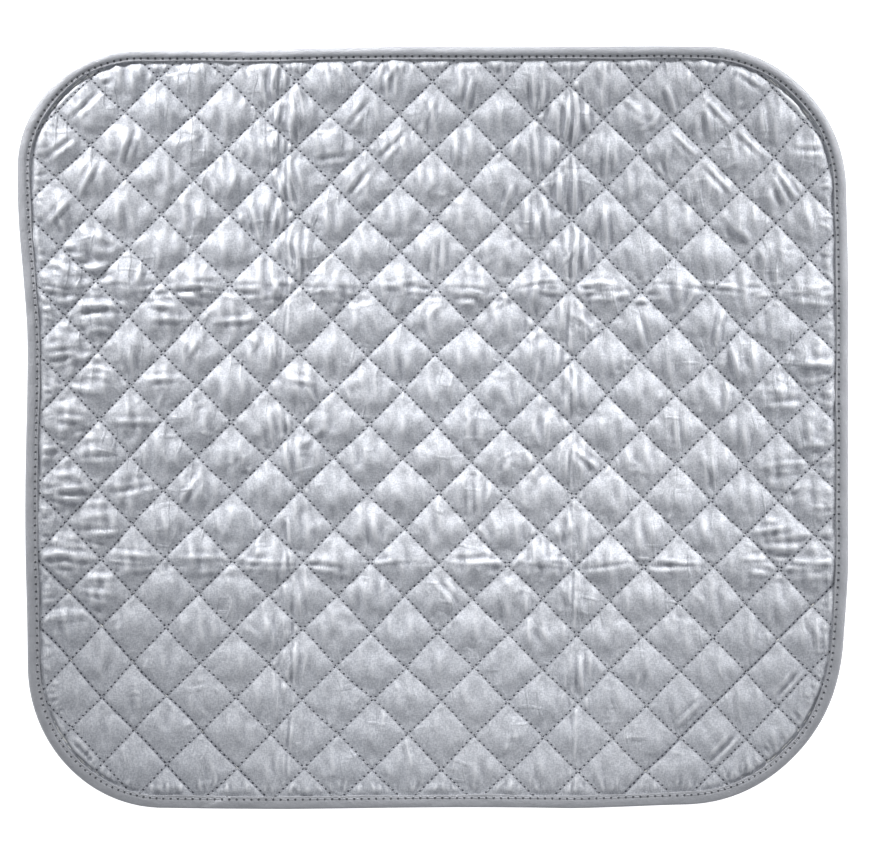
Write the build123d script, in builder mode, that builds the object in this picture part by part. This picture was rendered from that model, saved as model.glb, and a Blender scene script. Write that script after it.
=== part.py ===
from build123d import *
import math
import os

# Quilted heat-reflecting pad: a silver-coated face cloth, a thin foam core and a backing cloth,
# sewn together on a diagonal grid and bound round the edge with a folded tape. It folds in three
# like a letter, so every layer is cut into a left, a middle and a right panel at the two folds.
# Millimetres. X runs along the long side, Y along the short side, Z up.
# The origin is the middle of the underside, which lies on the floor.

# Outline
length = 600.0
width = 552.0
corner_radii = {
    (-1, 1): 88.0,    # far left
    (1, 1): 105.0,    # far right
    (1, -1): 120.0,   # near right
    (-1, -1): 104.0,  # near left
}

# Layers
pad_height = 7.0
cloth = 0.8
rim_cloth_low = 1.0
rim_foam_low = rim_cloth_low + cloth
rim_foam_high = 3.2
rim_cloth_high = rim_foam_high + cloth

# Edge binding
binding_width = 10.0
tape = 1.0
rim_height = rim_cloth_high + tape
stitch_inset = 8.0

# Quilting
diamond_length = 49.4
diamond_width = 49.84
lattice_x = 2.0
lattice_y = 1.1
thread = 0.8
thread_height = 0.4
crossing_gap = 2.4
seam_run = 1.5 * math.hypot(length, width)
seam_angle = math.degrees(math.atan2(diamond_width, diamond_length))
seams_each_side = math.ceil((length + width) / 2 / diamond_length)

# Folds
fold_x = 100.0
fold_gap = 0.6
flap_length = length / 2 - fold_x - fold_gap / 2
panels = {
    "left": (-(length - flap_length) / 2, flap_length),
    "middle": (0.0, 2 * fold_x - fold_gap),
    "right": ((length - flap_length) / 2, flap_length),
}


def outline(inset):
    """Rounded outline of the pad, drawn in by inset."""
    half_length = length / 2 - inset
    half_width = width / 2 - inset
    with BuildSketch() as shape:
        Rectangle(2 * half_length, 2 * half_width)
        for (side_x, side_y), radius in corner_radii.items():
            corner = (side_x * half_length, side_y * half_width, 0)
            fillet(shape.vertices().sort_by_distance(corner)[0], radius - inset)
    return shape.sketch


def seams(angle, line_width):
    """Parallel quilting lines at an angle, inside the binding."""
    with BuildSketch() as lines:
        for step in range(-seams_each_side, seams_each_side + 1):
            with Locations((lattice_x + step * diamond_length, lattice_y)):
                Rectangle(seam_run, line_width, rotation=angle)
        add(riser_edge, mode=Mode.INTERSECT)
    return lines.sketch


def keep_panel(panel):
    """Cuts the open sketch down to one panel."""
    centre, panel_length = panels[panel]
    with Locations((centre, 0)):
        Rectangle(panel_length, width, mode=Mode.INTERSECT)


def add_layer(panel, low, high, outer, inner=None):
    """Extrudes one panel of a flat layer, or of a ring when an inner outline is given."""
    with BuildSketch(Plane.XY.offset(low)) as layer:
        add(outer)
        if inner is not None:
            add(inner, mode=Mode.SUBTRACT)
        keep_panel(panel)
    extrude(layer.sketch, amount=high - low)


def cut_groove(panel, low, drawing):
    """Cuts a thread's groove into the open part."""
    with BuildSketch(Plane.XY.offset(low)) as groove:
        add(drawing)
        keep_panel(panel)
    extrude(groove.sketch, amount=thread_height, mode=Mode.SUBTRACT)


def write(builder, name):
    builder.part.label = name
    export_step(builder.part, f"parts/{name}.step")


os.makedirs("parts", exist_ok=True)

# Outlines shared by the layers
pad_edge = outline(0)
tape_inside = outline(tape)
tape_edge = outline(binding_width)
riser_edge = outline(binding_width + cloth)

# Thread paths
rising = seams(seam_angle, thread)
falling_full = seams(-seam_angle, thread)
rising_clearance = seams(seam_angle, crossing_gap)
with BuildSketch() as falling_drawing:
    add(falling_full)
    add(rising_clearance, mode=Mode.SUBTRACT)
falling = falling_drawing.sketch
with BuildSketch() as binding_drawing:
    add(outline(stitch_inset - thread / 2))
    add(outline(stitch_inset + thread / 2), mode=Mode.SUBTRACT)
binding_seam = binding_drawing.sketch

for panel in panels:
    # Backing cloth: flat underside, then a riser and a rim clamped inside the binding
    with BuildPart() as backing_cloth:
        add_layer(panel, 0, cloth, tape_edge)
        add_layer(panel, 0, rim_foam_low, tape_edge, riser_edge)
        add_layer(panel, rim_cloth_low, rim_foam_low, tape_inside, riser_edge)
        cut_groove(panel, 0, rising)
        cut_groove(panel, 0, falling)
    write(backing_cloth, f"backing_cloth_{panel}")

    # Foam core: full height inside the seams, pressed thin at the rim
    with BuildPart() as foam_core:
        add_layer(panel, cloth, pad_height - cloth, riser_edge)
        add_layer(panel, rim_foam_low, rim_foam_high, tape_inside)
    write(foam_core, f"foam_core_{panel}")

    # Face cloth: the backing cloth's shape turned over, with its rim on top of the foam
    with BuildPart() as face_cloth:
        add_layer(panel, pad_height - cloth, pad_height, tape_edge)
        add_layer(panel, rim_foam_high, pad_height, tape_edge, riser_edge)
        add_layer(panel, rim_foam_high, rim_cloth_high, tape_inside, riser_edge)
        cut_groove(panel, pad_height - thread_height, rising)
        cut_groove(panel, pad_height - thread_height, falling)
    write(face_cloth, f"face_cloth_{panel}")

    # Edge binding: a tape folded over the rim, as a lower leaf, an outer wall and an upper leaf
    with BuildPart() as edge_binding:
        add_layer(panel, 0, tape, pad_edge, tape_edge)
        add_layer(panel, 0, rim_height, pad_edge, tape_inside)
        add_layer(panel, rim_cloth_high, rim_height, pad_edge, tape_edge)
        cut_groove(panel, 0, binding_seam)
        cut_groove(panel, rim_height - thread_height, binding_seam)
    write(edge_binding, f"edge_binding_{panel}")

    # Threads: the needle threads lie in the face, the bobbin threads in the underside
    threads = {
        "needle_thread_rising": (pad_height - thread_height, rising),
        "needle_thread_falling": (pad_height - thread_height, falling),
        "bobbin_thread_rising": (0, rising),
        "bobbin_thread_falling": (0, falling),
        "binding_needle_thread": (rim_height - thread_height, binding_seam),
        "binding_bobbin_thread": (0, binding_seam),
    }
    for name, (low, drawing) in threads.items():
        with BuildPart() as seam_thread:
            with BuildSketch(Plane.XY.offset(low)):
                add(drawing)
                keep_panel(panel)
            extrude(amount=thread_height)
        write(seam_thread, f"{name}_{panel}")
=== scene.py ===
import math

import bpy
import numpy as np
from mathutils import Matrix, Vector


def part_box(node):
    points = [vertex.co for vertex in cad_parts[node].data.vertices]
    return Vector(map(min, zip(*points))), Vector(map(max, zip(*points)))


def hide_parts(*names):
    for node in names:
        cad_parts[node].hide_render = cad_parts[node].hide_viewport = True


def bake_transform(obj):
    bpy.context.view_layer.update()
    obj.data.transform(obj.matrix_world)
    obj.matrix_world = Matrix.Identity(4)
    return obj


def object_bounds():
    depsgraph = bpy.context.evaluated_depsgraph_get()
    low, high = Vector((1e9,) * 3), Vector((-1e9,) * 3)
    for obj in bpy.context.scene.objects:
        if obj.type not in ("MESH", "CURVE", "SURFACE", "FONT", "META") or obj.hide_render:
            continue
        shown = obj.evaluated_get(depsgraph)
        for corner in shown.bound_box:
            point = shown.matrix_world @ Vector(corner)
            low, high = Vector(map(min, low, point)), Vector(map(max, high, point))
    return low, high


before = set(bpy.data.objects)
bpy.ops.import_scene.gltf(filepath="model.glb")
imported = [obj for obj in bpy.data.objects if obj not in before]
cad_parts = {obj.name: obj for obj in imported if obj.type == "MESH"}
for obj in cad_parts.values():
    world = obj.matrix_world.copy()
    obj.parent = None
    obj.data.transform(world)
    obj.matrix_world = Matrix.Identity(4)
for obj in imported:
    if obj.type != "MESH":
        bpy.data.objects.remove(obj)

# Quilted silver pad: simulated face and backing cloth over a foam core, bound with folded tape.
# Shapes are worked out in millimetres in the CAD frame and written to Blender in metres.
MM = 0.001
SEED = 11

cad_low, cad_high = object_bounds()
LENGTH = (cad_high.x - cad_low.x) / MM
WIDTH = (cad_high.y - cad_low.y) / MM
FOLD_X = (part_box("face_cloth_middle")[1].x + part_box("face_cloth_right")[0].x) / 2 / MM
CORNER_RADII = {(-1, 1): 88.0, (1, 1): 105.0, (1, -1): 120.0, (-1, -1): 104.0}

# Quilting: seams run where u or v is a whole number
CELLS_OUT = 13
FACE_STEPS = 12
BACKING_STEPS = 8
FINE_STEPS = 24
LATTICE_ORIGIN = np.array([2.0, 1.1])
LATTICE_ACROSS = np.array([24.70, -0.43])
LATTICE_UP = np.array([-0.32, 24.92])
CELL_SIDE = 35.1
STITCH_PITCH = 4.12
# Seams that were sewn tight, as (direction, number, share of the full depth)
DEEP_SEAMS = (("u", -8.0, 1.0), ("u", -9.0, 1.0), ("v", 8.0, 1.0))

# Heights, and widths across the edge
FACE_SEAM_Z = 2.9
BACKING_SEAM_Z = 1.9
FACE_RIM_Z = 3.3
CLOTH_RIM_INSET = 5.0
BINDING_WIDTHS = {"left": 9.2, "right": 9.0, "far": 9.0, "near": 9.0}
BINDING_STITCH_MARGIN = 1.9
BINDING_PITCH = 5.3
TAPE_LAP_X = -158.0
THREAD_RADIUS = 0.27

# Where folding has creased the pad
LEFT_CREASE_X = -FOLD_X - 6
FAR_CREASE_Y = 98
NEAR_CREASE_Y = -99

# Simulated cloth
CLOTH_FRAMES = 16
TRAVEL_CAP = 4.0
FLATTER_NEAR = 0.62


# Small rounded lump under the cloth, and the direction of its long side in radians
LUMP_X, LUMP_Y, LUMP_TURN = 253, -222, 1.0

# Camera: heights and places in metres, sensor and view width in millimetres
CAMERA_HEIGHT = 3.0
CAMERA_PLACE = (0.0022, -0.0004)
SENSOR_WIDTH = 36.0
VIEW_WIDTH = 631.8
CAMERA_REACH = 20.0

# Softboxes, as (name, place, target, power, spread in degrees), and the room around them
SOFTBOX_SIZE = (0.4, 0.3)
SOFTBOXES = (("far_left", (-0.50, 1.05, 0.40), (-0.14, 0.06, 0), 0.60, 34),
             ("middle", (-0.50, 1.05, 0.40), (0.02, 0.14, 0), 0.20, 24),
             ("left", (-0.80, 0.90, 0.42), (-0.24, 0.10, 0), 0.20, 26),
             ("far_right", (0.60, 1.00, 0.40), (0.15, 0.16, 0), 0.22, 22),
             ("right", (1.00, 0.72, 0.42), (0.30, 0.05, 0), 0.27, 24),
             ("near_right", (0.98, 0.50, 0.40), (0.30, -0.08, 0), 0.08, 24))
ROOM_COLOUR = (0.95, 0.97, 1.0, 1)
ROOM_STRENGTH = 0.46
FLOOR_HALF = 3000
FLOOR_Z = -0.3


# ---------- helpers ----------

def smooth(value, low, high):
    """0 below low, 1 above high, and a smooth rise between."""
    t = np.clip((value - low) / (high - low), 0, 1)
    return t * t * (3 - 2 * t)


def bump(value, centre, half_width):
    """A smooth hill of height 1."""
    return np.exp(-((value - centre) / half_width) ** 2)


def waves(x, y, wavelength, seed, count=7):
    """Smooth seeded noise of about unit size, from plane waves in many directions."""
    rng = np.random.default_rng(seed)
    total = np.zeros(np.broadcast(x, y).shape)
    for _ in range(count):
        angle, phase = rng.uniform(0, 2 * math.pi, 2)
        length = wavelength * rng.uniform(0.6, 1.6)
        along = (x * math.cos(angle) + y * math.sin(angle)) / length
        total += np.sin(2 * math.pi * along + phase)
    return total / math.sqrt(count / 2)


# ---------- outline ----------

def corner_radius(x, y):
    radius = np.zeros(np.broadcast(x, y).shape)
    for (side_x, side_y), value in CORNER_RADII.items():
        here = (np.sign(x + 1e-9) == side_x) & (np.sign(y + 1e-9) == side_y)
        radius = np.where(here, value, radius)
    return radius


def inset_of(x, y):
    """How far a point lies inside the pad's rounded outline."""
    radius = corner_radius(x, y)
    over_x = np.abs(x) - LENGTH / 2 + radius
    over_y = np.abs(y) - WIDTH / 2 + radius
    outside = np.hypot(np.maximum(over_x, 0), np.maximum(over_y, 0))
    return radius - outside - np.minimum(np.maximum(over_x, over_y), 0)


def binding_width(outward):
    """Width of the tape's upper side, from the direction in which its edge faces."""
    shares = np.maximum([-outward[..., 0], outward[..., 0], outward[..., 1], -outward[..., 1]], 0)
    return sum(share ** 2 * width for share, width in zip(shares, BINDING_WIDTHS.values()))


def inward(x, y):
    """Direction in which the inset grows fastest."""
    slope = np.stack([inset_of(x + 0.5, y) - inset_of(x - 0.5, y),
                      inset_of(x, y + 0.5) - inset_of(x, y - 0.5)], -1)
    return slope / np.maximum(np.linalg.norm(slope, axis=-1, keepdims=True), 1e-6)


def open_inset(x, y):
    """How far a point lies inside the tape's inner edge."""
    return inset_of(x, y) - binding_width(-inward(x, y)) - 0.6


def rim_points(inset, step):
    """Points round the outline at an inset, with outward directions and distance travelled.
    It starts at the middle of the far side and runs clockwise seen from above."""
    half_x, half_y = LENGTH / 2, WIDTH / 2
    parts = []
    start = np.array([0.0, half_y - inset])
    corners = [((1, 1), 90.0), ((1, -1), 0.0), ((-1, -1), -90.0), ((-1, 1), -180.0)]
    for (side_x, side_y), angle in corners:
        radius = CORNER_RADII[(side_x, side_y)]
        centre = np.array([side_x * (half_x - radius), side_y * (half_y - radius)])
        first = centre + (radius - inset) * np.array(
            [math.cos(math.radians(angle)), math.sin(math.radians(angle))])
        run = np.linalg.norm(first - start)
        count = max(2, round(run / step))
        straight = start + (first - start) * np.linspace(0, 1, count, endpoint=False)[:, None]
        count = max(2, round(radius * math.pi / 2 / step))
        turn = np.radians(angle - 90 * np.linspace(0, 1, count, endpoint=False))
        arc = centre + (radius - inset) * np.stack([np.cos(turn), np.sin(turn)], -1)
        parts += [straight, arc]
        end_turn = math.radians(angle - 90)
        start = centre + (radius - inset) * np.array([math.cos(end_turn), math.sin(end_turn)])
    first = parts[0][0]
    count = max(2, round(np.linalg.norm(first - start) / step))
    parts.append(start + (first - start) * np.linspace(0, 1, count, endpoint=False)[:, None])
    points = np.concatenate(parts)
    ahead = np.roll(points, -1, 0) - np.roll(points, 1, 0)
    ahead /= np.linalg.norm(ahead, axis=1)[:, None]
    outward = np.stack([-ahead[:, 1], ahead[:, 0]], -1)
    gaps = np.linalg.norm(np.roll(points, -1, 0) - points, axis=1)
    travelled = np.concatenate([[0], np.cumsum(gaps)[:-1]])
    return points, outward, travelled


def settle(x, y):
    """Moves points of the true outline to the slightly uneven one that the sewn pad has."""
    left = smooth(-x, LENGTH / 2 - 110, LENGTH / 2)
    right = smooth(x, LENGTH / 2 - 110, LENGTH / 2)
    far = smooth(y, WIDTH / 2 - 110, WIDTH / 2)
    near = smooth(-y, WIDTH / 2 - 110, WIDTH / 2)
    left_in = 5.6 * smooth(-y, -175, -50) + 0.9 * np.sin(y / 38)
    right_in = 0.6 + 5.0 * smooth(-y, 90, 190) + 1.6 * smooth(y, 100, 190)
    far_in = 1.3 + 1.6 * smooth(-x, 0, 110) + 0.3 * np.sin(x / 33)
    near_in = 0.7 + 0.6 * np.sin(x / 45 + 1.0) + 3.2 * smooth(x, 90, 190)
    return (x + left * left_in - right * right_in,
            y - far * far_in + near * near_in)


def ground(x, y):
    """The gentle rise and fall of the whole pad, which isn't perfectly flat."""
    folds = 1.3 * bump(x, LEFT_CREASE_X, 16) + 1.5 * bump(x, FOLD_X, 14)
    folds = folds + 0.8 * bump(y, FAR_CREASE_Y, 14) + 0.8 * bump(y, NEAR_CREASE_Y, 14)
    return folds + 0.45 * (1 + waves(x, y, 210, SEED + 1)) / 2


# ---------- quilted cloth ----------

def lattice(u, v):
    """Where a quilting coordinate lies in the plane."""
    across = (u + v)[..., None] * LATTICE_ACROSS
    up = (u - v)[..., None] * LATTICE_UP
    flat = LATTICE_ORIGIN + across + up
    x, y = flat[..., 0], flat[..., 1]
    x = x + 0.55 * waves(x, y, 75, SEED + 2)
    y = y + 0.55 * waves(x, y, 75, SEED + 3)
    return x, y


def grid(steps):
    line = np.linspace(-CELLS_OUT, CELLS_OUT, 2 * CELLS_OUT * steps + 1)
    return np.meshgrid(line, line, indexing="ij")


def pulled_to_rim(x, y):
    """Points outside the cloth's cut edge are brought back onto it."""
    for _ in range(4):
        short = np.maximum(CLOTH_RIM_INSET - inset_of(x, y), 0)
        direction = inward(x, y)
        x = x + short * direction[..., 0]
        y = y + short * direction[..., 1]
    return x, y


def kept_quads(inside):
    """Corner indices of the grid squares that touch the pad, facing up."""
    index = np.arange(inside.size).reshape(inside.shape)
    corners = [index[:-1, :-1], index[:-1, 1:], index[1:, 1:], index[1:, :-1]]
    touched = inside[:-1, :-1] | inside[1:, :-1] | inside[1:, 1:] | inside[:-1, 1:]
    return np.stack([c[touched] for c in corners], -1)


def new_mesh(name, points, faces):
    """A mesh object from points in millimetres; unused points are dropped."""
    faces = np.asarray(faces)
    used, flat = np.unique(faces, return_inverse=True)
    faces = flat.reshape(faces.shape)
    mesh = bpy.data.meshes.new(name)
    mesh.vertices.add(len(used))
    mesh.vertices.foreach_set("co", (points[used] * MM).astype(np.float32).reshape(-1))
    mesh.loops.add(faces.size)
    mesh.loops.foreach_set("vertex_index", faces.reshape(-1).astype(np.int32))
    mesh.polygons.add(len(faces))
    sides = faces.shape[1]
    mesh.polygons.foreach_set("loop_start", np.arange(0, faces.size, sides, dtype=np.int32))
    mesh.polygons.foreach_set("loop_total", np.full(len(faces), sides, dtype=np.int32))
    mesh.update(calc_edges=True)
    mesh.validate()
    mesh.polygons.foreach_set("use_smooth", np.ones(len(faces), dtype=bool))
    piece = bpy.data.objects.new(name, mesh)
    bpy.context.scene.collection.objects.link(piece)
    return piece, used


def to_seam(value):
    """Distance to the nearest whole number, in cells."""
    return np.abs(value - np.round(value))


def seam_depth(u, v, y):
    """Extra depth of the few seams that were sewn tight."""
    depth = np.zeros(u.shape)
    for which, number, amount in DEEP_SEAMS:
        across = u if which == "u" else v
        depth = depth + amount * smooth(-y, 60, 130) * bump(across, number, 0.06)
    return depth


def creased(x, y):
    """1 in the bands that folding and packing have creased, where the cloth hangs loosest."""
    upright = bump(x, LEFT_CREASE_X, 20) + 0.9 * bump(x, FOLD_X, 20)
    level = 0.6 * bump(y, FAR_CREASE_Y, 14) + 0.6 * bump(y, NEAR_CREASE_Y, 14)
    left_end = bump(x, -LENGTH / 2 + 35, 30) * smooth(150 - np.abs(y), 0, 60)
    right_end = bump(x, LENGTH / 2 - 30, 26) * bump(y, -30, 80)
    return np.clip(upright + level + 0.8 * left_end + 0.8 * right_end, 0, 1)


def start_heights(u, v, x, y, puff, seed, tight):
    """Cloth before the simulation: sewn down on the seams and domed between them."""
    inside = open_inset(x, y)
    dome = np.abs(np.sin(math.pi * u) * np.sin(math.pi * v)) ** 0.8
    uneven = 1 + 0.12 * waves(x, y, 60, seed)
    base = FACE_RIM_Z + (FACE_SEAM_Z - FACE_RIM_Z) * smooth(inside, 0, 8)
    return base - tight * seam_depth(u, v, y) + puff * uneven * dome * smooth(inside, 0, 5)


def simulated(steps, seed, puff, pressure, plain, loose, tight):
    """Cloth with its seams and rim held, cut a little too large and blown up; the grid's points.
    The share of spare cloth is plain, or loose in the creased bands, and tight is how far the
    tightly sewn seams are drawn down."""
    u, v = grid(steps)
    x, y = pulled_to_rim(*lattice(u, v))
    heights = start_heights(u, v, x, y, puff, seed, tight)
    flat = np.stack([x, y, heights], -1).reshape(-1, 3)
    held = (np.minimum(to_seam(u), to_seam(v)) < 1e-6) | (open_inset(x, y) < 0)
    dome = np.abs(np.sin(math.pi * u) * np.sin(math.pi * v))
    start = flat.copy()
    start[:, 2] += (np.where(held, 0, 0.9) * dome * waves(x, 0.45 * y, 10, seed + 1)).reshape(-1)
    faces = kept_quads(inset_of(x, y) > CLOTH_RIM_INSET + 0.5)
    piece, used = new_mesh("cloth_work", start, faces)
    pins = piece.vertex_groups.new(name="held")
    pins.add(np.flatnonzero(held.reshape(-1)[used]).tolist(), 1.0, "REPLACE")
    spare = piece.vertex_groups.new(name="spare")
    for number, share in enumerate(creased(x, y).reshape(-1)[used].tolist()):
        spare.add([number], share, "REPLACE")
    modifier = piece.modifiers.new("Cloth", "CLOTH")
    cloth = modifier.settings
    cloth.quality = 4
    cloth.mass = 0.1
    cloth.tension_stiffness = 20
    cloth.compression_stiffness = 20
    cloth.shear_stiffness = 8
    cloth.bending_stiffness = 4
    cloth.shrink_min = -plain
    cloth.shrink_max = -loose
    cloth.vertex_group_shrink = "spare"
    cloth.vertex_group_mass = "held"
    cloth.use_pressure = True
    cloth.uniform_pressure_force = pressure
    cloth.effector_weights.gravity = 0
    modifier.collision_settings.use_collision = False
    scene = bpy.context.scene
    for number in range(1, CLOTH_FRAMES + 1):
        scene.frame_set(number)
    graph = bpy.context.evaluated_depsgraph_get()
    done = piece.evaluated_get(graph).to_mesh()
    settled = np.zeros(len(done.vertices) * 3, np.float32)
    done.vertices.foreach_get("co", settled)
    bpy.data.objects.remove(piece, do_unlink=True)
    scene.frame_set(1)
    travel = np.zeros(flat.shape)
    travel[used] = settled.reshape(-1, 3) / MM - flat[used]
    reach = np.linalg.norm(travel, axis=1, keepdims=True)
    share = np.minimum(1, TRAVEL_CAP / np.maximum(reach, 1e-6))
    points = (flat + travel * share).reshape(*u.shape, 3)
    eased = points.copy()
    eased[1:-1, 1:-1] = 0.5 * points[1:-1, 1:-1] + 0.125 * (
        points[2:, 1:-1] + points[:-2, 1:-1] + points[1:-1, 2:] + points[1:-1, :-2])
    points = np.where(held[..., None], points, eased)
    floor = np.where(held, points[..., 2], FACE_SEAM_Z - 0.2)
    points[..., 2] = np.maximum(points[..., 2], floor)
    return points


def spline_matrix(knots, samples):
    """Takes the values at a cell's knots to its finer samples along a natural cubic spline."""
    left, right = np.eye(knots + 1), np.zeros((knots + 1, knots + 1))
    for i in range(1, knots):
        left[i, i - 1:i + 2] = (1, 4, 1)
        right[i, i - 1:i + 2] = (6, -12, 6)
    bends = np.linalg.solve(left, right)
    place = np.linspace(0, knots, samples + 1)
    first = np.minimum(place.astype(int), knots - 1)
    b = (place - first)[:, None]
    a = 1 - b
    unit = np.eye(knots + 1)
    curve = ((a ** 3 - a) * bends[first] + (b ** 3 - b) * bends[first + 1]) / 6
    return a * unit[first] + b * unit[first + 1] + curve


def refined(points, steps):
    """The fine grid; curves inside each cell, with a kink kept on the seams."""
    matrix = spline_matrix(steps, FINE_STEPS)
    for axis in (0, 1):
        rows = np.moveaxis(points, axis, 0)
        cells = (len(rows) - 1) // steps
        fine = np.zeros((cells * FINE_STEPS + 1,) + rows.shape[1:])
        for cell in range(cells):
            knots = rows[cell * steps:(cell + 1) * steps + 1]
            fine[cell * FINE_STEPS:(cell + 1) * FINE_STEPS + 1] = np.tensordot(matrix, knots, 1)
        points = np.moveaxis(fine, 0, axis)
    return points


def crossing_pinch(u, v):
    """Small dimple where two seams cross."""
    return np.exp(-(to_seam(u) ** 2 + to_seam(v) ** 2) * (CELL_SIDE / 3.0) ** 2)


def stitch_pucker(u, v):
    """Cloth drawn in at each needle hole and swelling between the holes, only beside a seam."""
    total = np.zeros(u.shape)
    for across, along in ((u, v), (v, u)):
        near = np.exp(-(to_seam(across) * CELL_SIDE / 3.2) ** 2)
        turn = 2 * math.pi * along * CELL_SIDE / STITCH_PITCH
        off = 1 - np.exp(-(to_seam(across) * CELL_SIDE / 0.9) ** 2)
        total += near * off * np.cos(turn) * (0.6 + 0.4 * np.sin(5.1 * along + 3 * across))
    return -total


def add_ridge(total, x, y, x_mid, y_mid, angle, length, height, bend=0.0, half_width=2.0):
    """Adds one sharp wrinkle: a narrow ridge with a gentle bend that fades out at its ends."""
    near = np.flatnonzero((np.abs(x - x_mid) < length) & (np.abs(y - y_mid) < length))
    if not len(near):
        return
    turn = math.radians(angle)
    off_x, off_y = x[near] - x_mid, y[near] - y_mid
    along = off_x * math.cos(turn) + off_y * math.sin(turn)
    across = -off_x * math.sin(turn) + off_y * math.cos(turn)
    share = np.clip(np.abs(along) / (length / 2), 0, 1)
    across = across - bend * (share ** 2) * length / 2
    fade = (1 - share ** 2) ** 2
    crest = np.exp(-np.abs(across / half_width) ** 1.5)
    trough = 0.45 * (bump(across, 2.4 * half_width, half_width)
                     + bump(across, -2.4 * half_width, half_width))
    total[near] += height * fade * (crest - trough)


# The strongest wrinkles, as (x, y, angle in degrees, length, strength)
LEVEL_ANGLE = 30
LEVEL_STRENGTH = 8
UPRIGHT_STRENGTH = 6
MARKED_WRINKLES = (
    (96, 222, 85, 50, 11), (-266, 6, 178, 37, 11), (209, -234, 46, 39, -11),
    (-266, -91, 176, 38, 11), (74, 197, 94, 58, 8), (-218, 4, 180, 55, 8), (-143, 77, 4, 48, 9),
    (101, 169, 88, 50, 8), (206, 180, 133, 41, 10), (256, 176, 123, 39, 10), (-170, -94, 1, 51, 8),
    (72, 242, 95, 37, 11), (-252, 234, 46, 43, -9), (91, 174, 91, 37, 11), (99, 26, 90, 56, -7),
    (-191, 78, 179, 40, 9), (-218, -92, 176, 40, 9), (-258, -235, 136, 35, -11),
    (25, 241, 81, 33, 11), (124, 147, 94, 49, 8), (-247, -21, 2, 53, -7), (-250, 83, 9, 43, -8),
    (253, 19, 3, 47, -8), (-269, -52, 174, 30, 11), (229, 206, 136, 40, 9), (-54, 177, 51, 37, -9),
    (273, 200, 174, 40, -9), (205, 229, 133, 39, 9), (96, -27, 92, 38, 9), (181, 205, 135, 40, 9),
    (70, 151, 88, 43, -8), (103, 120, 86, 44, 8), (-268, -44, 1, 39, 9), (-24, 103, 4, 42, 8),
    (-269, 203, 39, 41, -8), (-246, -74, 180, 44, -8), (125, 194, 86, 45, 7),
    (-221, -45, 9, 43, -8), (259, -186, 49, 37, -9), (-117, 248, 90, 23, 11), (3, 123, 85, 44, -7),
    (-115, 151, 83, 30, 10), (-129, 148, 103, 35, 9), (281, -153, 98, 42, 7),
    (-34, 248, 90, 24, 11), (269, 99, 4, 35, 9), (-249, 181, 63, 43, 7), (16, 198, 91, 30, 10),
    (-4, 227, 67, 40, 7), (-55, 227, 53, 35, -8), (78, 145, 83, 48, -6), (-32, 202, 46, 39, -8),
    (-178, 99, 178, 28, -11), (229, 253, 146, 34, 9), (-270, -34, 2, 20, 11), (-197, 35, 3, 33, 9),
    (29, -52, 91, 49, -6), (-74, 195, 9, 38, -7), (-220, 203, 73, 37, -8), (-117, 202, 89, 33, 8),
    (171, 237, 111, 29, 10), (109, -174, 88, 33, -8), (-196, 88, 178, 24, 11), (273, -97, 3, 34, 8),
    (-245, 37, 172, 31, 9), (110, -23, 139, 35, 8), (-102, 177, 106, 40, 7), (-270, 156, 49, 33, 8),
    (205, 68, 79, 40, 7), (25, 93, 180, 28, -10), (178, -3, 95, 40, -7), (9, -117, 130, 42, -6),
    (-272, 50, 11, 24, -11), (-237, 254, 19, 12, 11), (274, 90, 0, 36, 7), (218, 45, 102, 35, 7),
    (202, -32, 97, 37, 7), (-97, 34, 169, 29, 8), (151, 73, 105, 39, -6), (252, -83, 1, 39, -6),
    (247, -73, 10, 35, 7), (-177, -45, 54, 38, 6), (184, -208, 46, 41, 6), (-273, -99, 175, 24, 10))


def fold_creases(x, y):
    """The four lines along which the pad has been folded: a thin groove beside a low ridge."""
    total = np.zeros(x.shape)
    lines = ((x, y, LEFT_CREASE_X), (x, y, FOLD_X - 1), (y, x, 101), (y, x, NEAR_CREASE_Y))
    for number, (across, along, line) in enumerate(lines):
        off = across - line - 1.6 * waves(along, 0 * along, 90, SEED + 80 + number)
        strength = 0.55 + 0.35 * waves(along, 0 * along, 45, SEED + 90 + number)
        total += np.maximum(strength, 0) * (0.5 * bump(off, 2.6, 1.7) - 0.6 * bump(off, 0, 1.3))
    return total


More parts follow.
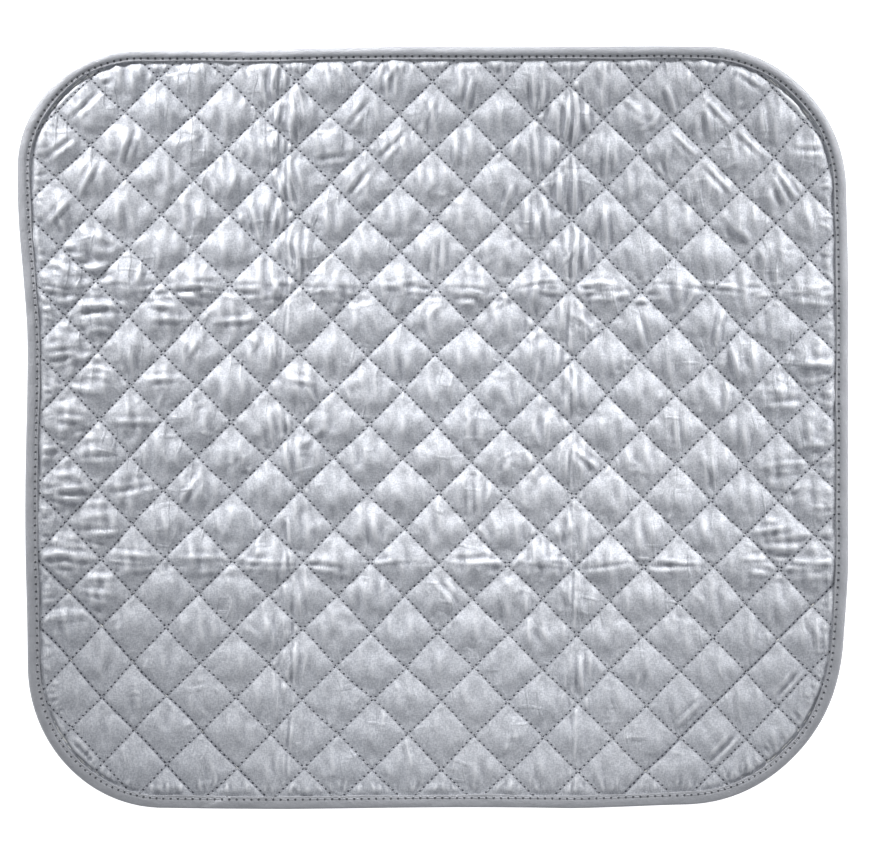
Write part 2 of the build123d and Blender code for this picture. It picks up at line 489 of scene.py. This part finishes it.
def wrinkles(x, y, seed):
    """Height of all the wrinkles: the fold creases and marked wrinkles, upright ridges by the two
    folds, level ones by the other two, pleats beside the edges, and scattered soft wrinkles."""
    rng = np.random.default_rng(seed)
    shape = x.shape
    x, y = x.reshape(-1), y.reshape(-1)
    total = fold_creases(x, y)
    for x_mid, y_mid, angle, length, strength in MARKED_WRINKLES:
        level = min(angle % 180, 180 - angle % 180) < LEVEL_ANGLE
        height = strength / (LEVEL_STRENGTH if level else UPRIGHT_STRENGTH)
        add_ridge(total, x, y, x_mid, y_mid, angle, length, height, half_width=1.6)
    fold_lines = ((-FOLD_X - 14, 34), (-FOLD_X + 2, 22), (FOLD_X - 22, 26), (FOLD_X + 4, 40))
    for line, count in fold_lines:
        for _ in range(count):
            y_mid = rng.uniform(-WIDTH / 2, WIDTH / 2)
            strength = 0.35 + 0.65 * smooth(y_mid, -60, 180)
            add_ridge(total, x, y, line + rng.normal(0, 5.5), y_mid, 90 + rng.normal(0, 7),
                      rng.uniform(22, 56), strength * rng.uniform(0.6, 2.0),
                      rng.normal(0, 0.12), rng.uniform(1.5, 2.4))
    for line in (LEFT_CREASE_X, FOLD_X - 2):
        for _ in range(34):
            y_mid = rng.uniform(-WIDTH / 2, WIDTH / 2)
            strength = 0.35 + 0.65 * smooth(y_mid, -60, 180)
            add_ridge(total, x, y, line + rng.normal(0, 5), y_mid, 90 + rng.normal(0, 8),
                      rng.uniform(24, 52), strength * rng.uniform(0.6, 1.6),
                      rng.normal(0, 0.3), rng.uniform(1.3, 1.8))
    for line, strength in ((FAR_CREASE_Y, 1.0), (NEAR_CREASE_Y, 0.6)):
        for _ in range(44):
            add_ridge(total, x, y, rng.uniform(-LENGTH / 2, LENGTH / 2), line + rng.normal(0, 4),
                      rng.normal(0, 6), rng.uniform(20, 44),
                      strength * rng.uniform(0.5, 1.4) * rng.choice((-1, 1), p=(0.6, 0.4)),
                      rng.normal(0, 0.15), rng.uniform(1.2, 1.7))
    for side, low, high, count in ((-1, -150, 150, 110), (1, -110, 60, 44)):
        for _ in range(count):
            x_mid = side * (LENGTH / 2 - rng.uniform(12, 62))
            add_ridge(total, x, y, x_mid, rng.uniform(low, high),
                      rng.normal(0, 8), rng.uniform(20, 60), rng.uniform(0.35, 1.2),
                      rng.normal(0, 0.15), rng.uniform(1.5, 2.7))
    points, outward, _ = rim_points(15.0, 5.2)
    for point, facing in zip(points, outward):
        angle = math.degrees(math.atan2(facing[1], facing[0])) + rng.normal(0, 12)
        add_ridge(total, x, y, point[0] + rng.normal(0, 1.5), point[1] + rng.normal(0, 1.5), angle,
                  rng.uniform(9, 20), rng.uniform(0.15, 0.75), rng.normal(0, 0.2),
                  rng.uniform(1.0, 1.8))
    for _ in range(240):
        y_mid = rng.uniform(-WIDTH / 2, WIDTH / 2)
        strength = 0.55 + 0.45 * smooth(y_mid, -150, 0)
        add_ridge(total, x, y, rng.uniform(-LENGTH / 2, LENGTH / 2), y_mid, 90 + rng.normal(0, 22),
                  rng.uniform(14, 42), strength * rng.uniform(0.25, 1.2),
                  rng.normal(0, 0.3), rng.uniform(1.5, 2.4))
    for _ in range(200):
        add_ridge(total, x, y, rng.uniform(-LENGTH / 2, LENGTH / 2),
                  rng.uniform(-WIDTH / 2, WIDTH / 2), rng.normal(0, 24),
                  rng.uniform(8, 22), rng.uniform(0.15, 0.5),
                  rng.normal(0, 0.3), rng.uniform(1.1, 1.7))
    return total.reshape(shape)


def rim_gap(x, y):
    """The groove beside the tape, deepest at the corners."""
    corner = bump(np.abs(x), LENGTH / 2 - 25, 55) * bump(np.abs(y), WIDTH / 2 - 25, 55)
    return (0.3 + 2.2 * corner) * bump(open_inset(x, y), 0.9, 1.6)


def lump(x, y):
    """A small rounded lump under the cloth beside the near right corner."""
    along = (x - LUMP_X) * math.cos(LUMP_TURN) + (y - LUMP_Y) * math.sin(LUMP_TURN)
    across = -(x - LUMP_X) * math.sin(LUMP_TURN) + (y - LUMP_Y) * math.cos(LUMP_TURN)
    return bump(along, 0, 11) * bump(across, 0, 6)


def finished(points, steps, seed):
    """Fine grid of the face cloth: the simulated form with stitches, wrinkles and the ground."""
    fine = refined(points, steps)
    u, v = grid(FINE_STEPS)
    x, y, z = fine[..., 0], fine[..., 1], fine[..., 2]
    fullness = FLATTER_NEAR + (1 - FLATTER_NEAR) * smooth(y, -200, -90)
    z = FACE_SEAM_Z + (z - FACE_SEAM_Z) * fullness
    free = smooth(open_inset(x, y), 0, 5)
    off_seam = 1 - np.exp(-(np.minimum(to_seam(u), to_seam(v)) * CELL_SIDE / 2.2) ** 2)
    z = z + free * (0.16 * stitch_pucker(u, v) - 0.5 * crossing_pinch(u, v))
    z = z + free * off_seam * wrinkles(x, y, seed) - rim_gap(x, y) + free * 1.3 * lump(x, y)
    return np.stack([x, y, z + ground(x, y)], -1)


def on_ground(points):
    """The cloth moved to the slightly uneven outline of the sewn pad."""
    x, y = settle(points[..., 0], points[..., 1])
    return np.stack([x, y, points[..., 2]], -1)


def turned_under(points, steps):
    """The backing cloth: its puffs hang below its seams, and they lie flat on the floor."""
    fine = refined(points, steps)
    u, v = grid(FINE_STEPS)
    x, y = fine[..., 0], fine[..., 1]
    z = BACKING_SEAM_Z - (fine[..., 2] - FACE_SEAM_Z)
    free = smooth(open_inset(x, y), 0, 5)
    z = z - free * (0.12 * stitch_pucker(u, v) - 0.2 * crossing_pinch(u, v))
    return np.stack([x, y, np.maximum(z + ground(x, y), 0.05)], -1)


# ---------- materials ----------

class Paint:
    """A small builder for node materials."""

    def __init__(self, name):
        self.material = bpy.data.materials.new(name)
        self.material.use_nodes = True
        self.nodes = self.material.node_tree.nodes
        self.links = self.material.node_tree.links
        self.shader = self.nodes["Principled BSDF"]
        self.place = self.nodes.new("ShaderNodeTexCoord").outputs["Object"]

    def set(self, **values):
        for name, value in values.items():
            self.shader.inputs[name.replace("_", " ")].default_value = value

    def node(self, kind, **inputs):
        made = self.nodes.new("ShaderNode" + kind)
        for name, value in inputs.items():
            socket = made.inputs[int(name[1:]) if name[1:].isdigit() else name]
            if isinstance(value, bpy.types.NodeSocket):
                self.links.new(value, socket)
            else:
                socket.default_value = value
        return made

    def math(self, operation, first, second=0.0):
        made = self.node("Math", _0=first, _1=second)
        made.operation = operation
        return made.outputs[0]

    def attribute(self, name):
        made = self.nodes.new("ShaderNodeAttribute")
        made.attribute_name = name
        return made.outputs["Fac"]

    def noise(self, scale, stretch=(1, 1, 1), detail=2.0):
        mapped = self.node("Mapping", Vector=self.place, Scale=stretch)
        made = self.node("TexNoise", Vector=mapped.outputs[0], Scale=scale, Detail=detail)
        return made.outputs["Fac"]

    def ramp(self, value, low, high):
        made = self.node("MapRange", Value=value)
        made.inputs["From Min"].default_value = low
        made.inputs["From Max"].default_value = high
        made.interpolation_type = "SMOOTHSTEP"
        return made.outputs[0]

    def mix(self, factor, first, second):
        made = self.nodes.new("ShaderNodeMix")
        made.data_type = "RGBA"
        for index, value in ((0, factor), (6, first), (7, second)):
            if isinstance(value, bpy.types.NodeSocket):
                self.links.new(value, made.inputs[index])
            elif index:
                made.inputs[index].default_value = (*value, 1)
            else:
                made.inputs[index].default_value = value
        return made.outputs[2]

    def join(self, output, name):
        self.links.new(output, self.shader.inputs[name])

    def relief(self, *layers):
        """Bump layers as (height, distance in metres), the broadest first."""
        normal = None
        for height, distance in layers:
            made = self.node("Bump", Height=height, Strength=1.0, Distance=distance)
            if normal is not None:
                self.links.new(normal, made.inputs["Normal"])
            normal = made.outputs["Normal"]
        self.join(normal, "Normal")


def weave(paint, thread_mm):
    """Plain weave height: threads over and under each other both ways."""
    turns = math.pi / (thread_mm * MM)
    split = paint.node("SeparateXYZ", Vector=paint.place)
    warp = paint.math("SINE", paint.math("MULTIPLY", split.outputs[0], turns))
    weft = paint.math("SINE", paint.math("MULTIPLY", split.outputs[1], turns))
    return paint.math("MULTIPLY", warp, weft)


def needle_holes(paint):
    """1 at each needle hole, and 1 along each seam, from the cloth's own lattice coordinates."""
    u, v = paint.attribute("lattice_u"), paint.attribute("lattice_v")
    holes, lines = None, None
    for across, along in ((u, v), (v, u)):
        nearest = paint.math("ROUND", across)
        apart = paint.math("ABSOLUTE", paint.math("SUBTRACT", across, nearest))
        off = paint.math("MULTIPLY", apart, CELL_SIDE)
        count = paint.math("MULTIPLY", along, CELL_SIDE / STITCH_PITCH)
        step = paint.math("SUBTRACT", count, paint.math("ROUND", count))
        run = paint.math("MULTIPLY", paint.math("ABSOLUTE", step), STITCH_PITCH)
        away = paint.math("SQRT", paint.math("ADD", paint.math("MULTIPLY", off, off),
                                             paint.math("MULTIPLY", run, run)))
        hole = paint.math("SUBTRACT", 1.0, paint.ramp(away, 0.3, 0.95))
        line = paint.math("SUBTRACT", 1.0, paint.ramp(off, 0.1, 1.4))
        holes = hole if holes is None else paint.math("MAXIMUM", holes, hole)
        lines = line if lines is None else paint.math("MAXIMUM", lines, line)
    return holes, lines


def fine_creases(paint, direction, spacing_mm, share):
    """Long thin pressed ridges that run across a direction, in patches: 1 along each crest."""
    wave = paint.node("TexWave", Vector=paint.place, Distortion=4.0, Detail=1.0)
    wave.bands_direction = direction
    wave.inputs["Scale"].default_value = 2 * math.pi / (20 * spacing_mm * MM)
    wave.inputs["Detail Scale"].default_value = 1.3
    crest = paint.ramp(wave.outputs["Fac"], 0.84, 1.0)
    patches = paint.ramp(paint.noise(38.0, (1.3, 0.8, 1.0), 1.0), 1 - share, 1 - share + 0.12)
    return paint.math("MULTIPLY", crest, patches)


def silver_material():
    paint = Paint("silver_cloth")
    holes, lines = needle_holes(paint)
    patch = paint.noise(9.0, detail=3.0)
    slub_x = paint.noise(1000.0, (0.45, 1.6, 1.0))
    slub_y = paint.noise(1000.0, (1.6, 0.45, 1.0))
    grain = paint.math("MULTIPLY", paint.math("ADD", slub_x, slub_y), 0.5)
    base = paint.mix(paint.ramp(patch, 0.3, 0.7), (0.485, 0.505, 0.55), (0.525, 0.54, 0.58))
    speck = paint.mix(paint.ramp(grain, 0.38, 0.62), (0.30, 0.315, 0.36), (0.78, 0.79, 0.82))
    cloth = paint.mix(0.42, base, speck)
    # Painted shade: the cloth's colour is darkened in its valleys and creases, following their
    # hollowness
    hollow = paint.attribute("hollow")
    painted_valley_shade = paint.math("MULTIPLY", paint.ramp(hollow, 0.12, 0.7), 0.42)
    cloth = paint.mix(painted_valley_shade, cloth, (0.17, 0.18, 0.22))
    # Painted highlight: the cloth's colour is lightened along its ridges and crests
    crest = paint.math("MULTIPLY", hollow, -1.0)
    painted_ridge_highlight = paint.math("MULTIPLY", paint.ramp(crest, 0.1, 0.9), 0.55)
    cloth = paint.mix(painted_ridge_highlight, cloth, (0.86, 0.87, 0.90))
    # Painted shade along the seam grooves, stronger along the tightly sewn seams
    seam_shade_strength = paint.math("ADD", 0.42, paint.math("MULTIPLY", paint.attribute("sewn_tight"), 0.5))
    seam = paint.mix(paint.math("MULTIPLY", lines, seam_shade_strength), cloth, (0.16, 0.17, 0.21))
    # Painted shade: near-black dots at the needle holes stand in for the shade inside them
    shaded_holes = paint.mix(paint.math("MULTIPLY", holes, 0.9), seam, (0.03, 0.035, 0.05))
    paint.join(shaded_holes, "Base Color")
    paint.set(Metallic=0.3)
    rough = paint.node("MapRange", Value=grain)
    rough.inputs["To Min"].default_value = 0.47
    rough.inputs["To Max"].default_value = 0.66
    paint.join(rough.outputs[0], "Roughness")
    crumple = paint.noise(130.0, (1.6, 0.8, 1.0), 3.0)
    level = fine_creases(paint, "Y", 13.0, 0.42)
    upright = fine_creases(paint, "X", 9.0, 0.5)
    dips = paint.math("SUBTRACT", 1.0, holes)
    paint.relief((crumple, 0.00025), (level, 0.0002), (upright, 0.0003), (dips, 0.0007),
                 (grain, 0.0002), (weave(paint, 0.45), 0.00003))
    return paint.material


def backing_material():
    paint = Paint("backing_cloth")
    holes, lines = needle_holes(paint)
    patch = paint.noise(12.0, detail=3.0)
    grain = paint.noise(500.0, (0.4, 1.8, 1.0))
    base = paint.mix(patch, (0.60, 0.60, 0.60), (0.70, 0.70, 0.69))
    cloth = paint.mix(paint.math("MULTIPLY", grain, 0.5), base, (0.78, 0.78, 0.77))
    seam = paint.mix(paint.math("MULTIPLY", lines, 0.3), cloth, (0.35, 0.35, 0.35))
    # Painted shade: dark dots at the needle holes stand in for the shade inside them
    shaded_holes = paint.mix(paint.math("MULTIPLY", holes, 0.8), seam, (0.08, 0.08, 0.085))
    paint.join(shaded_holes, "Base Color")
    paint.set(Metallic=0.0, Roughness=0.85)
    dips = paint.math("SUBTRACT", 1.0, holes)
    paint.relief((paint.noise(100.0, detail=3.0), 0.0006), (dips, 0.0006), (grain, 0.00025),
                 (weave(paint, 0.5), 0.00006))
    return paint.material


def tape_material():
    paint = Paint("binding_tape")
    along, row = paint.attribute("tape_along"), paint.attribute("tape_row")
    step = paint.math("MULTIPLY", along, 1 / BINDING_PITCH)
    run = paint.math("MULTIPLY", paint.math("ABSOLUTE", paint.math(
        "SUBTRACT", step, paint.math("ROUND", step))), BINDING_PITCH)
    away = paint.math("SQRT", paint.math("ADD", paint.math("MULTIPLY", row, row),
                                         paint.math("MULTIPLY", run, run)))
    hole = paint.math("SUBTRACT", 1.0, paint.ramp(away, 0.45, 1.2))
    patch = paint.noise(30.0, detail=3.0)
    grain = paint.noise(480.0, (1.0, 1.0, 1.0))
    base = paint.mix(patch, (0.33, 0.34, 0.37), (0.41, 0.415, 0.44))
    cloth = paint.mix(paint.math("MULTIPLY", grain, 0.6), base, (0.50, 0.51, 0.54))
    # Painted shade: dark dots at the stitch holes stand in for the shade inside them
    shaded_holes = paint.mix(paint.math("MULTIPLY", hole, 0.85), cloth, (0.05, 0.055, 0.065))
    paint.join(shaded_holes, "Base Color")
    paint.set(Metallic=0.3, Roughness=0.5)
    dips = paint.math("SUBTRACT", 1.0, hole)
    paint.relief((paint.noise(120.0), 0.0005), (dips, 0.0006), (grain, 0.0002),
                 (weave(paint, 0.4), 0.00004))
    return paint.material


def thread_material():
    paint = Paint("thread")
    twist = paint.noise(2600.0, (1.0, 1.0, 1.0))
    paint.join(paint.mix(twist, (0.34, 0.35, 0.38), (0.62, 0.63, 0.66)), "Base Color")
    paint.set(Roughness=0.55)
    paint.relief((twist, 0.0001))
    return paint.material


def foam_material():
    paint = Paint("foam")
    cells = paint.noise(900.0, detail=3.0)
    paint.join(paint.mix(cells, (0.80, 0.80, 0.76), (0.90, 0.90, 0.87)), "Base Color")
    paint.set(Roughness=0.95)
    paint.relief((cells, 0.0004))
    return paint.material


def floor_material():
    paint = Paint("floor")
    tone = paint.noise(3.0)
    paint.join(paint.mix(tone, (0.93, 0.93, 0.93), (0.95, 0.95, 0.95)), "Base Color")
    paint.set(Roughness=0.9)
    paint.set(Emission_Color=(1, 1, 1, 1), Emission_Strength=0.85)
    return paint.material


# ---------- pieces ----------

HALVES = {"left": ("left_panel", -FOLD_X), "right": ("right_panel", FOLD_X)}


def bend(piece, half):
    """Bakes the piece's transform into its points; the piece is not bent."""
    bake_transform(piece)


def half_of_cells(u, v, half):
    """True for grid squares whose quilted cell belongs to this half; they meet along seams."""
    cell = np.floor(u[:-1, :-1] + 1e-6) + np.floor(v[:-1, :-1] + 1e-6) + 1
    return cell < 0 if half == "left" else cell >= 0


def hollowness(points, u, v):
    """Positive in the cloth's valleys, negative on its ridges, and 0 along its seams."""
    z = points[..., 2]
    curve = sum(np.roll(z, step, axis) for axis in (0, 1) for step in (-1, 1)) - 4 * z
    return curve * smooth(np.minimum(to_seam(u), to_seam(v)) * CELL_SIDE, 1.2, 3.2)


def cloth_piece(name, points, steps, half, material, flip=False):
    u, v = grid(steps)
    inside = inset_of(points[..., 0], points[..., 1]) > CLOTH_RIM_INSET + 0.5
    index = np.arange(inside.size).reshape(inside.shape)
    corners = [index[:-1, :-1], index[1:, :-1], index[1:, 1:], index[:-1, 1:]]
    keep = inside[:-1, :-1] | inside[1:, :-1] | inside[1:, 1:] | inside[:-1, 1:]
    keep &= half_of_cells(u, v, half)
    faces = np.stack([c[keep] for c in (corners if flip else corners[::-1])], -1)
    piece, used = new_mesh(name, points.reshape(-1, 3), faces)
    tight = seam_depth(u, v, points[..., 1])
    hollow = hollowness(points, u, v)
    for label, values in (("lattice_u", u), ("lattice_v", v), ("sewn_tight", tight),
                          ("hollow", hollow)):
        attribute = piece.data.attributes.new(label, "FLOAT", "POINT")
        attribute.data.foreach_set("value", values.reshape(-1)[used].astype(np.float32))
    piece.data.materials.append(material)
    return piece


def nearby(heights, lowest):
    """Lowest or highest fine height within a coarse step of each coarse point."""
    reach = FINE_STEPS // FACE_STEPS
    pick = np.minimum if lowest else np.maximum
    best = heights
    for axis in (0, 1):
        row = best
        for step in range(-reach, reach + 1):
            row = pick(row, np.roll(best, step, axis))
        best = row
    return best[::reach, ::reach]


def foam_piece(half, face, backing, material):
    """Foam between the two cloths: full in the diamonds, pressed thin under the seams."""
    u, v = grid(FACE_STEPS)
    reach = FINE_STEPS // FACE_STEPS
    top = face[::reach, ::reach].copy()
    low = top.copy()
    top[..., 2] = nearby(face[..., 2], True) - 0.35
    low[..., 2] = nearby(backing[..., 2], False) + 0.35
    middle = (top[..., 2] + low[..., 2]) / 2
    top[..., 2] = np.maximum(top[..., 2], middle + 0.05)
    low[..., 2] = np.minimum(low[..., 2], middle - 0.05)
    inside = inset_of(top[..., 0], top[..., 1]) > CLOTH_RIM_INSET + 1.5
    index = np.arange(inside.size).reshape(inside.shape)
    corners = [index[:-1, :-1], index[1:, :-1], index[1:, 1:], index[:-1, 1:]]
    keep = inside[:-1, :-1] & inside[1:, :-1] & inside[1:, 1:] & inside[:-1, 1:]
    keep &= half_of_cells(u, v, half)
    upper = np.stack([c[keep] for c in corners[::-1]], -1)
    lower = upper[:, ::-1] + inside.size
    edges = np.concatenate([upper[:, [i, (i + 1) % 4]] for i in range(4)])
    both = {tuple(e) for e in edges.tolist()}
    rim = np.array([e for e in edges.tolist() if (e[1], e[0]) not in both])
    walls = np.stack([rim[:, 1], rim[:, 0], rim[:, 0] + inside.size, rim[:, 1] + inside.size], -1)
    points = np.concatenate([top.reshape(-1, 3), low.reshape(-1, 3)])
    piece, _ = new_mesh(f"foam_core_{half}_half", points, np.concatenate([upper, lower, walls]))
    piece.data.materials.append(material)
    return piece


def sample(points, steps, u, v):
    """A cloth's surface at lattice coordinates."""
    row = np.clip((u + CELLS_OUT) * steps, 0, points.shape[0] - 1.001)
    column = np.clip((v + CELLS_OUT) * steps, 0, points.shape[1] - 1.001)
    i, j = row.astype(int), column.astype(int)
    a, b = (row - i)[..., None], (column - j)[..., None]
    low = points[i, j] * (1 - b) + points[i, j + 1] * b
    high = points[i + 1, j] * (1 - b) + points[i + 1, j + 1] * b
    return low * (1 - a) + high * a


def tubes(name, paths, radius, material, sides=6):
    """Short closed tubes, one along each path; paths is (count, rings, 3) in millimetres."""
    count, rings, _ = paths.shape
    ahead = np.gradient(paths, axis=1)
    ahead /= np.linalg.norm(ahead, axis=2, keepdims=True)
    side = np.cross(ahead, [0, 0, 1.0])
    side /= np.linalg.norm(side, axis=2, keepdims=True)
    up = np.cross(side, ahead)
    turn = np.linspace(0, 2 * math.pi, sides, endpoint=False)
    ring = (side[:, :, None] * np.cos(turn)[:, None] + up[:, :, None] * np.sin(turn)[:, None])
    taper = np.sin(np.linspace(0.18, math.pi - 0.18, rings)) ** 0.5
    points = paths[:, :, None] + radius * taper[:, None, None] * ring
    index = np.arange(count * rings * sides).reshape(count, rings, sides)
    onward = np.roll(index, -1, 2)
    quads = np.stack([index[:, :-1], index[:, 1:], onward[:, 1:], onward[:, :-1]], -1)
    quads = quads.reshape(-1, 4)
    half = sides // 2
    caps = []
    for end, order in ((0, 1), (rings - 1, -1)):
        for k in range(half - 1):
            cap = [index[:, end, k], index[:, end, k + 1],
                   index[:, end, sides - 2 - k], index[:, end, sides - 1 - k]]
            caps.append(np.stack(cap[::order], -1))
    piece, _ = new_mesh(name, points.reshape(-1, 3), np.concatenate([quads, *caps]))
    piece.data.materials.append(material)
    return piece


def quilting_stitches(name, points, direction, half, lift, material):
    """Every stitch of one diagonal direction on one cloth."""
    rings = np.linspace(0.12, 0.88, 5)
    rise = lift * (0.34 * np.sin(math.pi * (rings - rings[0]) / (rings[-1] - rings[0])) - 0.22)
    reach = int(CELLS_OUT * CELL_SIDE / STITCH_PITCH)
    starts = np.arange(-reach, reach)
    paths = []
    for seam in range(-CELLS_OUT + 1, CELLS_OUT):
        along = (starts[:, None] + rings) * STITCH_PITCH / CELL_SIDE
        fixed = np.full(along.shape, float(seam))
        u, v = (along, fixed) if direction == "rising" else (fixed, along)
        path = sample(points, FINE_STEPS, u, v)
        path[..., 2] += rise
        middle = path[:, 2]
        columns = u[:, 2] + v[:, 2]
        there = open_inset(middle[:, 0], middle[:, 1]) > -2
        there &= (columns < -0.5) if half == "left" else (columns >= -0.5)
        paths.append(path[there])
    return tubes(name, np.concatenate(paths), THREAD_RADIUS, material)


# The tape's closed section, as (share of its width in from the pad's edge, height): over the top
# from the inner edge, round the outside, under to the lower inner edge, and back along the inside
TAPE_OUTSIDE = ((1.03, 3.9), (1.02, 4.3), (0.93, 4.45), (0.80, 3.9), (0.70, 4.75), (0.58, 5.15),
                (0.45, 5.2), (0.30, 4.95), (0.15, 4.45), (0.05, 3.7), (0.0, 2.8), (0.03, 1.6),
                (0.12, 0.7), (0.30, 0.2), (0.55, 0.0), (0.82, 0.3), (0.95, 0.1), (1.03, 0.35))
TAPE_INSIDE = ((1.02, 0.6), (0.82, 0.75), (0.55, 0.45), (0.30, 0.65), (0.15, 1.1), (0.07, 1.8),
               (0.05, 2.8), (0.09, 3.5), (0.18, 4.1), (0.32, 4.5), (0.46, 4.73), (0.57, 4.68),
               (0.70, 4.3), (0.80, 3.45), (0.93, 4.0))
TAPE_FLAT_Z = 3.5


def tape_height(rise, outward_y):
    """A section height; the tape lies flatter along the near side."""
    flatter = 1 - 0.75 * np.maximum(-outward_y, 0) ** 2
    return np.where(rise > TAPE_FLAT_Z, TAPE_FLAT_Z + (rise - TAPE_FLAT_Z) * flatter, rise)


def rim_frame(travelled, points):
    """The ripple in height along the binding, and the pad's rise under it."""
    ripple = 0.16 * waves(travelled, 0 * travelled, 34, SEED + 5) + 0.1 * np.sin(travelled / 2.9)
    return ripple, ground(points[:, 0], points[:, 1])


def binding_piece(half, material):
    points, outward, travelled = rim_points(0.0, 1.35)
    ripple, base = rim_frame(travelled, points)
    section = np.array(TAPE_OUTSIDE + TAPE_INSIDE)
    share, rise = section[:, 0][None], section[:, 1][None]
    count, ring = len(points), len(section)
    width = binding_width(outward)[:, None]
    wander = 0.25 * waves(travelled, 0 * travelled, 60, SEED + 6)[:, None]
    inwards = share * (width + wander)
    x = points[:, :1] - outward[:, :1] * inwards
    y = points[:, 1:] - outward[:, 1:] * inwards
    upper = smooth(rise, 1.5, 4.0)
    rise = tape_height(rise, outward[:, 1:])
    past_lap = points[:, :1] - TAPE_LAP_X - 20 * (share - 0.5)
    lap = smooth(past_lap, -0.8, 0.8) * (1 - smooth(past_lap, 8, 40)) * (points[:, 1:] < 0)
    z = rise + upper * (ripple[:, None] * bump(share, 0.5, 0.35) + 0.7 * lap)
    x, y = settle(x, y)
    grid_points = np.stack([x, y, z + base[:, None]], -1).reshape(-1, 3)
    index = np.arange(count * ring).reshape(count, ring)
    ahead, turned = np.roll(index, -1, 0), np.roll(index, -1, 1)
    both = np.roll(ahead, -1, 1)
    middle = (points[:, 0] + np.roll(points[:, 0], -1)) / 2
    keep = middle < 0 if half == "left" else middle >= 0
    faces = np.stack([index[keep], turned[keep], both[keep], ahead[keep]], -1).reshape(-1, 4)
    piece, used = new_mesh(f"edge_binding_{half}_half", grid_points, faces)
    along = np.repeat(travelled, ring)
    row = (inwards - width + BINDING_STITCH_MARGIN).reshape(-1)
    for label, values in (("tape_along", along), ("tape_row", row)):
        attribute = piece.data.attributes.new(label, "FLOAT", "POINT")
        attribute.data.foreach_set("value", values[used].astype(np.float32))
    piece.data.materials.append(material)
    return piece


def binding_stitches(name, half, under, material):
    """The straight seam that holds the binding, on its top or its underside."""
    points, outward, travelled = rim_points(0.0, 0.4)
    ripple, _ = rim_frame(travelled, points)
    seam = points - outward * (binding_width(outward) - BINDING_STITCH_MARGIN)[:, None]
    rings = np.linspace(0.14, 0.86, 5)
    where = (np.arange(int(travelled[-1] / BINDING_PITCH))[:, None] + rings) * BINDING_PITCH
    x = np.interp(where, travelled, seam[:, 0])
    y = np.interp(where, travelled, seam[:, 1])
    arch = 0.3 * np.sin(math.pi * (rings - rings[0]) / (rings[-1] - rings[0])) - 0.1
    groove = tape_height(3.9, np.interp(where, travelled, outward[:, 1]))
    above = groove + 0.05 + arch + 0.5 * np.interp(where, travelled, ripple)
    z = (0.3 - arch if under else above) + ground(x, y)
    keep = x[:, 2] < 0 if half == "left" else x[:, 2] >= 0
    x, y = settle(x, y)
    return tubes(name, np.stack([x, y, z], -1)[keep], THREAD_RADIUS, material)


# ---------- camera, light and floor ----------

def add_camera():
    """Straight above, with the pad where the photograph has it."""
    camera = bpy.data.objects.new("camera", bpy.data.cameras.new("camera"))
    bpy.context.scene.collection.objects.link(camera)
    camera.data.sensor_width = SENSOR_WIDTH
    camera.data.lens = SENSOR_WIDTH * CAMERA_HEIGHT / (VIEW_WIDTH * MM)
    camera.data.clip_end = CAMERA_REACH
    camera.location = (*CAMERA_PLACE, CAMERA_HEIGHT)
    bpy.context.scene.camera = camera


def add_softbox(name, place, target, power, spread):
    light = bpy.data.lights.new(name, "AREA")
    light.shape = "RECTANGLE"
    light.size, light.size_y = SOFTBOX_SIZE
    light.energy = power
    light.spread = math.radians(spread)
    lamp = bpy.data.objects.new(name, light)
    bpy.context.scene.collection.objects.link(lamp)
    lamp.location = place
    lamp.rotation_euler = (Vector(place) - Vector(target)).to_track_quat("Z", "Y").to_euler()


def add_studio():
    """Gridded softboxes beyond the far corners, low enough to rake the puffs, in a pale room."""
    for softbox in SOFTBOXES:
        add_softbox(*softbox)
    world = bpy.data.worlds.new("studio")
    world.use_nodes = True
    background = world.node_tree.nodes["Background"]
    background.inputs["Color"].default_value = ROOM_COLOUR
    background.inputs["Strength"].default_value = ROOM_STRENGTH
    bpy.context.scene.world = world
    bpy.context.scene.view_settings.view_transform = "Standard"
    points = np.array([[-1, -1, 0], [1, -1, 0], [1, 1, 0], [-1, 1, 0]], float) * FLOOR_HALF
    points[:, 2] = FLOOR_Z
    floor, _ = new_mesh("floor", points, [[0, 1, 2, 3]])
    floor.data.materials.append(floor_material())


# ---------- assembly ----------

def build():
    add_camera()
    add_studio()
    silver, plain, tape = silver_material(), backing_material(), tape_material()
    thread, foam = thread_material(), foam_material()

    face = simulated(FACE_STEPS, SEED + 20, 3.0, 9.0, 0.022, 0.055, 1.1)
    face = on_ground(finished(face, FACE_STEPS, SEED + 60))
    under = simulated(BACKING_STEPS, SEED + 40, 1.8, 6.0, 0.015, 0.03, -0.8)
    under = on_ground(turned_under(under, BACKING_STEPS))

    for half in HALVES:
        nodes = (f"_{half}", "_middle")
        facing = cloth_piece(f"face_cloth_{half}_half", face, FINE_STEPS, half, silver)
        lining = cloth_piece(f"backing_cloth_{half}_half", under, FINE_STEPS, half, plain,
                             flip=True)
        core = foam_piece(half, face, under, foam)
        binding = binding_piece(half, tape)
        made = [(facing, "face_cloth", "silver_cloth"), (lining, "backing_cloth", "backing_cloth"),
                (core, "foam_core", "foam"), (binding, "edge_binding", "binding_tape")]
        for direction in ("rising", "falling"):
            top = quilting_stitches(f"needle_thread_{direction}_{half}_half", face,
                                    direction, half, 1.0, thread)
            low = quilting_stitches(f"bobbin_thread_{direction}_{half}_half", under,
                                    direction, half, -1.0, thread)
            made += [(top, f"needle_thread_{direction}", "thread"),
                     (low, f"bobbin_thread_{direction}", "thread")]
        for name, below in (("needle", False), ("bobbin", True)):
            row = binding_stitches(f"binding_{name}_thread_{half}_half", half, below, thread)
            made.append((row, f"binding_{name}_thread", "thread"))
        for piece, node, slot in made:
            bend(piece, half)
            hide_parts(*(node + end for end in nodes))


build()
